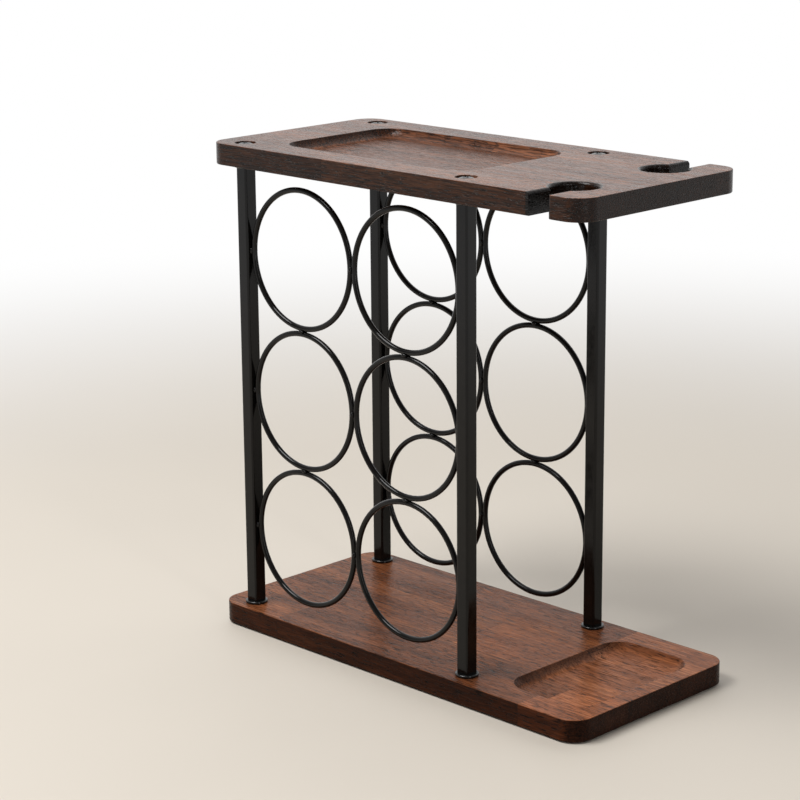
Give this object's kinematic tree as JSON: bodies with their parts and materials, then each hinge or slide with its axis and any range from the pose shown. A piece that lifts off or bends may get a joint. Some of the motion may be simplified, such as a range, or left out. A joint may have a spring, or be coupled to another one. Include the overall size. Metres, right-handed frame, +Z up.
{
  "type": "bottle and stemware rack",
  "caption": "Free-standing rack: two dark wood boards with trays, square metal posts between them, round wire hoops for bottles and keyhole slots for glass stems",
  "frame": {"origin": "on the table surface, below the middle of the two boards", "axes": "+X along the boards towards the glass slots, +Y away from the front long edge, along the bottles, +Z up"},
  "size_m": [0.342, 0.157, 0.3512],
  "materials": {
    "stained_wood": "dark walnut stain under a satin lacquer",
    "black_metal": "satin black powder coat",
    "insert_black": "glossy black",
    "screw_black": "black coated steel",
    "foot_pad": "matt black foam"
  },
  "bodies": {
    "root": {"base_board": "stained_wood", "base_screws": "screw_black", "foot_pads": "foot_pad", "hoop_front_lower_left": "black_metal", "hoop_front_lower_right": "black_metal", "hoop_front_middle_left": "black_metal", "hoop_front_middle_right": "black_metal", "hoop_front_upper_left": "black_metal", "hoop_front_upper_right": "black_metal", "hoop_rear_lower_left": "black_metal", "hoop_rear_lower_right": "black_metal", "hoop_rear_middle_left": "black_metal", "hoop_rear_middle_right": "black_metal", "hoop_rear_upper_left": "black_metal", "hoop_rear_upper_right": "black_metal", "post_front_left": "black_metal", "post_front_right": "black_metal", "post_inserts_foot": "insert_black", "post_inserts_top": "insert_black", "post_rear_left": "black_metal", "post_rear_right": "black_metal", "top_board": "stained_wood", "top_screws": "screw_black", "weld_beads_front": "black_metal", "weld_beads_rear": "black_metal"}
  },
  "joints": []
}
